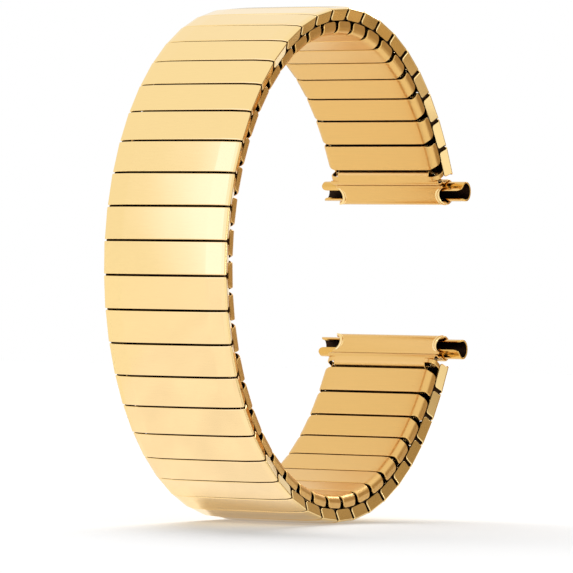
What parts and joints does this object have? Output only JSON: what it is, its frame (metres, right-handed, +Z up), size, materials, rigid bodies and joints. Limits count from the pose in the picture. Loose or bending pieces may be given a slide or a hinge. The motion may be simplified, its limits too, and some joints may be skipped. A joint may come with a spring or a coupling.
{
  "type": "expansion watch band",
  "caption": "Stretch metal watch band in its ring: two staggered rows of spring-loaded links tied by staples, with folded end pieces and sliding end sleeves",
  "frame": {"origin": "centre of the band's box, in the middle of its width", "axes": "+Y across the band, from its front edge in the picture to its back edge; +X from the closed side of the ring to the gap for the watch case; +Z up as the band stands in the picture"},
  "size_m": [0.0568, 0.0194, 0.06],
  "materials": {
    "link_gold": "gold-tone plated steel: mirror polish on the outer covers, satin on the wrist side",
    "staple_gold": "gold-tone plated steel, bright",
    "end_piece_gold": "gold-tone plated steel, satin, brushed across the band",
    "sleeve_gold": "gold-tone plated steel, polished"
  },
  "bodies": {
    "link_21": {"link_21": "link_gold"},
    "link_20": {"link_20": "link_gold"},
    "link_19": {"link_19": "link_gold"},
    "link_18": {"link_18": "link_gold"},
    "staples_18": {"staples_18": "staple_gold"},
    "link_17": {"link_17": "link_gold"},
    "link_16": {"link_16": "link_gold"},
    "link_15": {"link_15": "link_gold"},
    "staples_15": {"staples_15": "staple_gold"},
    "link_14": {"link_14": "link_gold"},
    "link_13": {"link_13": "link_gold"},
    "link_12": {"link_12": "link_gold"},
    "staples_12": {"staples_12": "staple_gold"},
    "link_11": {"link_11": "link_gold"},
    "link_10": {"link_10": "link_gold"},
    "link_09": {"link_09": "link_gold"},
    "staples_09": {"staples_09": "staple_gold"},
    "link_08": {"link_08": "link_gold"},
    "link_07": {"link_07": "link_gold"},
    "link_06": {"link_06": "link_gold"},
    "staples_06": {"staples_06": "staple_gold"},
    "link_05": {"link_05": "link_gold"},
    "link_04": {"link_04": "link_gold"},
    "link_03": {"link_03": "link_gold"},
    "staples_03": {"staples_03": "staple_gold"},
    "link_02": {"link_02": "link_gold"},
    "link_01": {"link_01": "link_gold"},
    "upper_end_piece": {"upper_end_piece": "end_piece_gold"},
    "upper_end_sleeve_front": {"upper_end_sleeve_front": "sleeve_gold"},
    "upper_end_sleeve_back": {"upper_end_sleeve_back": "sleeve_gold"},
    "link_22": {"link_22": "link_gold"},
    "link_23": {"link_23": "link_gold"},
    "link_24": {"link_24": "link_gold"},
    "staples_24": {"staples_24": "staple_gold"},
    "link_25": {"link_25": "link_gold"},
    "link_26": {"link_26": "link_gold"},
    "link_27": {"link_27": "link_gold"},
    "staples_27": {"staples_27": "staple_gold"},
    "link_28": {"link_28": "link_gold"},
    "link_29": {"link_29": "link_gold"},
    "link_30": {"link_30": "link_gold"},
    "staples_30": {"staples_30": "staple_gold"},
    "link_31": {"link_31": "link_gold"},
    "link_32": {"link_32": "link_gold"},
    "link_33": {"link_33": "link_gold"},
    "staples_33": {"staples_33": "staple_gold"},
    "link_34": {"link_34": "link_gold"},
    "link_35": {"link_35": "link_gold"},
    "link_36": {"link_36": "link_gold"},
    "staples_36": {"staples_36": "staple_gold"},
    "link_37": {"link_37": "link_gold"},
    "link_38": {"link_38": "link_gold"},
    "link_39": {"link_39": "link_gold"},
    "staples_39": {"staples_39": "staple_gold"},
    "link_40": {"link_40": "link_gold"},
    "link_41": {"link_41": "link_gold"},
    "lower_end_piece": {"lower_end_piece": "end_piece_gold"},
    "lower_end_sleeve_front": {"lower_end_sleeve_front": "sleeve_gold"},
    "lower_end_sleeve_back": {"lower_end_sleeve_back": "sleeve_gold"}
  },
  "joints": [
    {"name": "link_20_flex", "type": "hinge", "parent": "link_21", "child": "link_20", "pos_m": [-0.02721, 0, 0.00244], "axis": [0, -1, 0], "range_deg": [-0.4, 7.16]},
    {"name": "link_19_flex", "type": "hinge", "parent": "link_20", "child": "link_19", "pos_m": [-0.02666, 0, 0.00618], "axis": [0, -1, 0], "range_deg": [-0.4, 7.19]},
    {"name": "link_18_stretch", "type": "slide", "parent": "link_19", "child": "link_18", "axis": [0.3087, 0, 0.9511], "range_m": [0, 0.00137], "stiffness_N_per_m": 80, "springref_m": -0.00313},
    {"name": "staples_18_swing", "type": "hinge", "parent": "link_19", "child": "staples_18", "pos_m": [-0.02399, 0, 0.01], "axis": [0, 1, 0], "range_deg": [0, 48.25]},
    {"name": "link_17_flex", "type": "hinge", "parent": "link_18", "child": "link_17", "pos_m": [-0.0242, 0, 0.01331], "axis": [0, -1, 0], "range_deg": [-0.41, 7.34]},
    {"name": "link_16_flex", "type": "hinge", "parent": "link_17", "child": "link_16", "pos_m": [-0.02231, 0, 0.01657], "axis": [0, -1, 0], "range_deg": [-0.42, 7.44]},
    {"name": "link_15_stretch", "type": "slide", "parent": "link_16", "child": "link_15", "axis": [0.6451, 0, 0.7641], "range_m": [0, 0.00138], "stiffness_N_per_m": 80, "springref_m": -0.00313},
    {"name": "staples_15_swing", "type": "hinge", "parent": "link_16", "child": "staples_15", "pos_m": [-0.0184, 0, 0.0191], "axis": [0, 1, 0], "range_deg": [0, 48.44]},
    {"name": "link_14_flex", "type": "hinge", "parent": "link_15", "child": "link_14", "pos_m": [-0.01735, 0, 0.02223], "axis": [0, -1, 0], "range_deg": [-0.43, 7.71]},
    {"name": "link_13_flex", "type": "hinge", "parent": "link_14", "child": "link_13", "pos_m": [-0.01435, 0, 0.02451], "axis": [0, -1, 0], "range_deg": [-0.44, 7.85]},
    {"name": "link_12_stretch", "type": "slide", "parent": "link_13", "child": "link_12", "axis": [0.895, 0, 0.446], "range_m": [0, 0.00139], "stiffness_N_per_m": 80, "springref_m": -0.00313},
    {"name": "staples_12_swing", "type": "hinge", "parent": "link_13", "child": "staples_12", "pos_m": [-0.00976, 0, 0.02529], "axis": [0, 1, 0], "range_deg": [0, 48.69]},
    {"name": "link_11_flex", "type": "hinge", "parent": "link_12", "child": "link_11", "pos_m": [-0.00756, 0, 0.02772], "axis": [0, -1, 0], "range_deg": [-0.45, 8.11]},
    {"name": "link_10_flex", "type": "hinge", "parent": "link_11", "child": "link_10", "pos_m": [-0.00389, 0, 0.02858], "axis": [0, -1, 0], "range_deg": [-0.46, 8.21]},
    {"name": "link_09_stretch", "type": "slide", "parent": "link_10", "child": "link_09", "axis": [0.9994, 0, 0.0356], "range_m": [0, 0.00139], "stiffness_N_per_m": 80, "springref_m": -0.00313},
    {"name": "staples_09_swing", "type": "hinge", "parent": "link_10", "child": "staples_09", "pos_m": [0.0006, 0, 0.02739], "axis": [0, 1, 0], "range_deg": [0, 48.86]},
    {"name": "link_08_flex", "type": "hinge", "parent": "link_09", "child": "link_08", "pos_m": [0.00361, 0, 0.02869], "axis": [0, -1, 0], "range_deg": [-0.46, 8.29]},
    {"name": "link_07_flex", "type": "hinge", "parent": "link_08", "child": "link_07", "pos_m": [0.00729, 0, 0.02793], "axis": [0, -1, 0], "range_deg": [-0.46, 8.23]},
    {"name": "link_06_stretch", "type": "slide", "parent": "link_07", "child": "link_06", "axis": [0.9228, 0, -0.3854], "range_m": [0, 0.00139], "stiffness_N_per_m": 80, "springref_m": -0.00313},
    {"name": "staples_06_swing", "type": "hinge", "parent": "link_07", "child": "staples_06", "pos_m": [0.01088, 0, 0.02497], "axis": [0, 1, 0], "range_deg": [0, 48.76]},
    {"name": "link_05_flex", "type": "hinge", "parent": "link_06", "child": "link_05", "pos_m": [0.01416, 0, 0.02489], "axis": [0, -1, 0], "range_deg": [-0.44, 7.88]},
    {"name": "link_04_flex", "type": "hinge", "parent": "link_05", "child": "link_04", "pos_m": [0.01723, 0, 0.02269], "axis": [0, -1, 0], "range_deg": [-0.42, 7.53]},
    {"name": "link_03_stretch", "type": "slide", "parent": "link_04", "child": "link_03", "axis": [0.699, 0, -0.7151], "range_m": [0, 0.00137], "stiffness_N_per_m": 80, "springref_m": -0.00313},
    {"name": "staples_03_swing", "type": "hinge", "parent": "link_04", "child": "staples_03", "pos_m": [0.01936, 0, 0.01854], "axis": [0, 1, 0], "range_deg": [0, 48.13]},
    {"name": "link_02_flex", "type": "hinge", "parent": "link_03", "child": "link_02", "pos_m": [0.02241, 0, 0.0172], "axis": [0, -1, 0], "range_deg": [-0.36, 6.42]},
    {"name": "link_01_flex", "type": "hinge", "parent": "link_02", "child": "link_01", "pos_m": [0.02452, 0, 0.01403], "axis": [0, -1, 0], "range_deg": [-0.31, 5.61]},
    {"name": "upper_end_flex", "type": "hinge", "parent": "link_01", "child": "upper_end_piece", "pos_m": [0.0258, 0, 0.01169], "axis": [0, -1, 0], "range_deg": [-0.31, 5.61]},
    {"name": "upper_front_slide", "type": "slide", "parent": "upper_end_piece", "child": "upper_end_sleeve_front", "axis": [0, -1, 0], "range_m": [-0.00195, 0.001]},
    {"name": "upper_back_slide", "type": "slide", "parent": "upper_end_piece", "child": "upper_end_sleeve_back", "axis": [0, 1, 0], "range_m": [-0.00195, 0.001]},
    {"name": "link_22_flex", "type": "hinge", "parent": "link_21", "child": "link_22", "pos_m": [-0.02721, 0, -0.00244], "axis": [0, 1, 0], "range_deg": [-0.4, 7.16]},
    {"name": "link_23_flex", "type": "hinge", "parent": "link_22", "child": "link_23", "pos_m": [-0.02666, 0, -0.00618], "axis": [0, 1, 0], "range_deg": [-0.4, 7.19]},
    {"name": "link_24_stretch", "type": "slide", "parent": "link_23", "child": "link_24", "axis": [0.3087, 0, -0.9511], "range_m": [0, 0.00137], "stiffness_N_per_m": 80, "springref_m": -0.00313},
    {"name": "staples_24_swing", "type": "hinge", "parent": "link_23", "child": "staples_24", "pos_m": [-0.02399, 0, -0.01], "axis": [0, -1, 0], "range_deg": [0, 48.25]},
    {"name": "link_25_flex", "type": "hinge", "parent": "link_24", "child": "link_25", "pos_m": [-0.0242, 0, -0.01331], "axis": [0, 1, 0], "range_deg": [-0.41, 7.34]},
    {"name": "link_26_flex", "type": "hinge", "parent": "link_25", "child": "link_26", "pos_m": [-0.02231, 0, -0.01657], "axis": [0, 1, 0], "range_deg": [-0.42, 7.44]},
    {"name": "link_27_stretch", "type": "slide", "parent": "link_26", "child": "link_27", "axis": [0.6451, 0, -0.7641], "range_m": [0, 0.00138], "stiffness_N_per_m": 80, "springref_m": -0.00313},
    {"name": "staples_27_swing", "type": "hinge", "parent": "link_26", "child": "staples_27", "pos_m": [-0.0184, 0, -0.0191], "axis": [0, -1, 0], "range_deg": [0, 48.44]},
    {"name": "link_28_flex", "type": "hinge", "parent": "link_27", "child": "link_28", "pos_m": [-0.01735, 0, -0.02223], "axis": [0, 1, 0], "range_deg": [-0.43, 7.71]},
    {"name": "link_29_flex", "type": "hinge", "parent": "link_28", "child": "link_29", "pos_m": [-0.01435, 0, -0.02451], "axis": [0, 1, 0], "range_deg": [-0.44, 7.85]},
    {"name": "link_30_stretch", "type": "slide", "parent": "link_29", "child": "link_30", "axis": [0.895, 0, -0.446], "range_m": [0, 0.00139], "stiffness_N_per_m": 80, "springref_m": -0.00313},
    {"name": "staples_30_swing", "type": "hinge", "parent": "link_29", "child": "staples_30", "pos_m": [-0.00976, 0, -0.02529], "axis": [0, -1, 0], "range_deg": [0, 48.69]},
    {"name": "link_31_flex", "type": "hinge", "parent": "link_30", "child": "link_31", "pos_m": [-0.00756, 0, -0.02772], "axis": [0, 1, 0], "range_deg": [-0.45, 8.11]},
    {"name": "link_32_flex", "type": "hinge", "parent": "link_31", "child": "link_32", "pos_m": [-0.00389, 0, -0.02858], "axis": [0, 1, 0], "range_deg": [-0.46, 8.21]},
    {"name": "link_33_stretch", "type": "slide", "parent": "link_32", "child": "link_33", "axis": [0.9994, 0, -0.0356], "range_m": [0, 0.00139], "stiffness_N_per_m": 80, "springref_m": -0.00313},
    {"name": "staples_33_swing", "type": "hinge", "parent": "link_32", "child": "staples_33", "pos_m": [0.0006, 0, -0.02739], "axis": [0, -1, 0], "range_deg": [0, 48.86]},
    {"name": "link_34_flex", "type": "hinge", "parent": "link_33", "child": "link_34", "pos_m": [0.00361, 0, -0.02869], "axis": [0, 1, 0], "range_deg": [-0.46, 8.29]},
    {"name": "link_35_flex", "type": "hinge", "parent": "link_34", "child": "link_35", "pos_m": [0.00729, 0, -0.02793], "axis": [0, 1, 0], "range_deg": [-0.46, 8.23]},
    {"name": "link_36_stretch", "type": "slide", "parent": "link_35", "child": "link_36", "axis": [0.9228, 0, 0.3854], "range_m": [0, 0.00139], "stiffness_N_per_m": 80, "springref_m": -0.00313},
    {"name": "staples_36_swing", "type": "hinge", "parent": "link_35", "child": "staples_36", "pos_m": [0.01088, 0, -0.02497], "axis": [0, -1, 0], "range_deg": [0, 48.76]},
    {"name": "link_37_flex", "type": "hinge", "parent": "link_36", "child": "link_37", "pos_m": [0.01416, 0, -0.02489], "axis": [0, 1, 0], "range_deg": [-0.44, 7.88]},
    {"name": "link_38_flex", "type": "hinge", "parent": "link_37", "child": "link_38", "pos_m": [0.01723, 0, -0.02269], "axis": [0, 1, 0], "range_deg": [-0.42, 7.53]},
    {"name": "link_39_stretch", "type": "slide", "parent": "link_38", "child": "link_39", "axis": [0.699, 0, 0.7151], "range_m": [0, 0.00137], "stiffness_N_per_m": 80, "springref_m": -0.00313},
    {"name": "staples_39_swing", "type": "hinge", "parent": "link_38", "child": "staples_39", "pos_m": [0.01936, 0, -0.01854], "axis": [0, -1, 0], "range_deg": [0, 48.13]},
    {"name": "link_40_flex", "type": "hinge", "parent": "link_39", "child": "link_40", "pos_m": [0.02241, 0, -0.0172], "axis": [0, 1, 0], "range_deg": [-0.36, 6.42]},
    {"name": "link_41_flex", "type": "hinge", "parent": "link_40", "child": "link_41", "pos_m": [0.02452, 0, -0.01403], "axis": [0, 1, 0], "range_deg": [-0.31, 5.61]},
    {"name": "lower_end_flex", "type": "hinge", "parent": "link_41", "child": "lower_end_piece", "pos_m": [0.0258, 0, -0.01169], "axis": [0, 1, 0], "range_deg": [-0.31, 5.61]},
    {"name": "lower_front_slide", "type": "slide", "parent": "lower_end_piece", "child": "lower_end_sleeve_front", "axis": [0, -1, 0], "range_m": [-0.00195, 0.001]},
    {"name": "lower_back_slide", "type": "slide", "parent": "lower_end_piece", "child": "lower_end_sleeve_back", "axis": [0, 1, 0], "range_m": [-0.00195, 0.001]}
  ],
  "couplings": [
    {"joint": "staples_18_swing", "follows": "link_18_stretch", "rad_per_m": 611.41},
    {"joint": "staples_15_swing", "follows": "link_15_stretch", "rad_per_m": 611.71},
    {"joint": "staples_12_swing", "follows": "link_12_stretch", "rad_per_m": 612.1},
    {"joint": "staples_09_swing", "follows": "link_09_stretch", "rad_per_m": 612.37},
    {"joint": "staples_06_swing", "follows": "link_06_stretch", "rad_per_m": 612.21},
    {"joint": "staples_03_swing", "follows": "link_03_stretch", "rad_per_m": 611.22},
    {"joint": "staples_24_swing", "follows": "link_24_stretch", "rad_per_m": 611.41},
    {"joint": "staples_27_swing", "follows": "link_27_stretch", "rad_per_m": 611.71},
    {"joint": "staples_30_swing", "follows": "link_30_stretch", "rad_per_m": 612.1},
    {"joint": "staples_33_swing", "follows": "link_33_stretch", "rad_per_m": 612.37},
    {"joint": "staples_36_swing", "follows": "link_36_stretch", "rad_per_m": 612.21},
    {"joint": "staples_39_swing", "follows": "link_39_stretch", "rad_per_m": 611.22}
  ]
}
